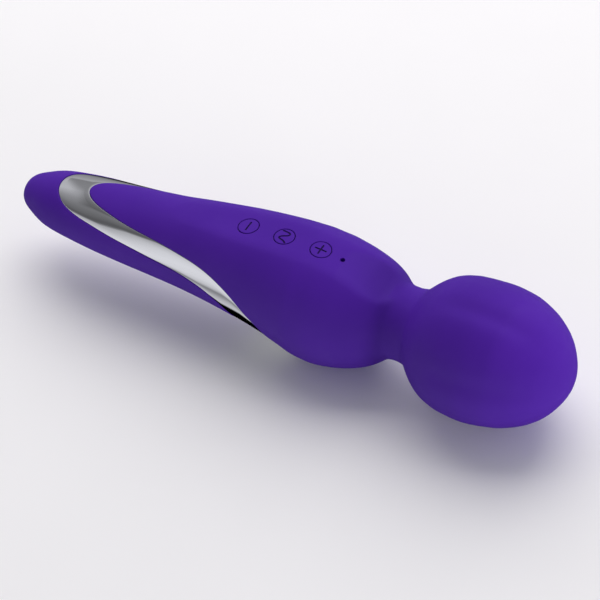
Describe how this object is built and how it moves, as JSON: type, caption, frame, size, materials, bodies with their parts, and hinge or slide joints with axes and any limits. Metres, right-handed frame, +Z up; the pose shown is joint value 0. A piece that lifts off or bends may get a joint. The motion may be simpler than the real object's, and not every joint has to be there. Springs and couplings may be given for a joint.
{
  "type": "handheld wand massager",
  "caption": "Cordless handheld wand massager with a round head on a flexible neck, silicone skin, plated side trim and push buttons along the top.",
  "frame": {"origin": "on the surface that the wand lies on, under the middle of its box", "axes": "+X along the wand from the tail to the head, +Z up, the way the buttons face"},
  "size_m": [0.21, 0.049, 0.049],
  "materials": {
    "violet_silicone": "soft matte silicone with a faint sheen",
    "chrome_plate": "polished plating on moulded plastic",
    "white_plastic": "moulded, fine texture",
    "grey_rubber": "matte elastomer",
    "bright_steel": "plain bright",
    "weight_brass": "turned",
    "nickel_strip": "plain strip",
    "cell_wrap": "shrink film",
    "board_laminate": "solder mask",
    "ferrite": "sintered",
    "black_plastic": "moulded",
    "red_plastic": "moulded",
    "red_insulation": "extruded insulation",
    "black_insulation": "extruded insulation"
  },
  "bodies": {
    "handle": {"body_cover": "violet_silicone", "tail_cap": "violet_silicone", "trim_ring": "chrome_plate", "chassis_upper": "white_plastic", "chassis_lower": "white_plastic", "chassis_rear_screw": "bright_steel", "chassis_left_screw": "bright_steel", "chassis_right_screw": "bright_steel", "board_front_screw": "bright_steel", "board_rear_screw": "bright_steel", "battery_cell": "cell_wrap", "battery_cradle": "black_plastic", "battery_tab_negative": "nickel_strip", "battery_tab_positive": "nickel_strip", "main_board": "board_laminate", "switch_minus": "black_plastic", "switch_wave": "black_plastic", "switch_plus": "black_plastic", "control_chip": "black_plastic", "charge_coil": "ferrite", "charging_jack": "black_plastic", "battery_lead_red": "red_insulation", "battery_lead_black": "black_insulation"},
    "neck": {"neck_sleeve": "violet_silicone", "neck_core": "grey_rubber", "motor_lead_red": "red_insulation", "motor_lead_black": "black_insulation"},
    "head": {"head_cap": "violet_silicone", "head_shell_upper": "white_plastic", "head_shell_lower": "white_plastic", "head_left_screw": "bright_steel", "head_right_screw": "bright_steel", "motor_can": "bright_steel", "motor_endbell": "black_plastic", "motor_cradle_rear": "grey_rubber", "motor_cradle_front": "grey_rubber"},
    "rotor": {"motor_shaft": "bright_steel", "eccentric_weight": "weight_brass"},
    "minus_key": {"button_minus": "violet_silicone"},
    "wave_key": {"button_wave": "violet_silicone"},
    "plus_key": {"button_plus": "violet_silicone"},
    "minus_switch": {"plunger_minus": "red_plastic"},
    "wave_switch": {"plunger_wave": "red_plastic"},
    "plus_switch": {"plunger_plus": "red_plastic"}
  },
  "joints": [
    {"name": "neck_yaw", "type": "hinge", "parent": "handle", "child": "neck", "pos_m": [0.042, 0, 0.025], "axis": [0, 0, 1], "range_deg": [-15, 15], "stiffness_Nm_per_rad": 2, "deforming": ["neck_sleeve", "neck_core", "motor_lead_red", "motor_lead_black"]},
    {"name": "neck_pitch", "type": "hinge", "parent": "neck", "child": "head", "pos_m": [0.048, 0, 0.025], "axis": [0, -1, 0], "range_deg": [-15, 15], "stiffness_Nm_per_rad": 2},
    {"name": "rotor_spin", "type": "hinge", "parent": "head", "child": "rotor", "pos_m": [0.087, 0, 0.025], "axis": [1, 0, 0], "continuous": true},
    {"name": "minus_press", "type": "slide", "parent": "handle", "child": "minus_key", "axis": [0, 0, -1], "range_m": [0, 0.0005], "stiffness_N_per_m": 600},
    {"name": "wave_press", "type": "slide", "parent": "handle", "child": "wave_key", "axis": [0, 0, -1], "range_m": [0, 0.0005], "stiffness_N_per_m": 600},
    {"name": "plus_press", "type": "slide", "parent": "handle", "child": "plus_key", "axis": [0, 0, -1], "range_m": [0, 0.0005], "stiffness_N_per_m": 600},
    {"name": "minus_click", "type": "slide", "parent": "handle", "child": "minus_switch", "axis": [0, 0, -1], "range_m": [0, 0.0005]},
    {"name": "wave_click", "type": "slide", "parent": "handle", "child": "wave_switch", "axis": [0, 0, -1], "range_m": [0, 0.0005]},
    {"name": "plus_click", "type": "slide", "parent": "handle", "child": "plus_switch", "axis": [0, 0, -1], "range_m": [0, 0.0005]}
  ],
  "couplings": [
    {"joint": "minus_click", "follows": "minus_press", "ratio": 1},
    {"joint": "wave_click", "follows": "wave_press", "ratio": 1},
    {"joint": "plus_click", "follows": "plus_press", "ratio": 1}
  ]
}
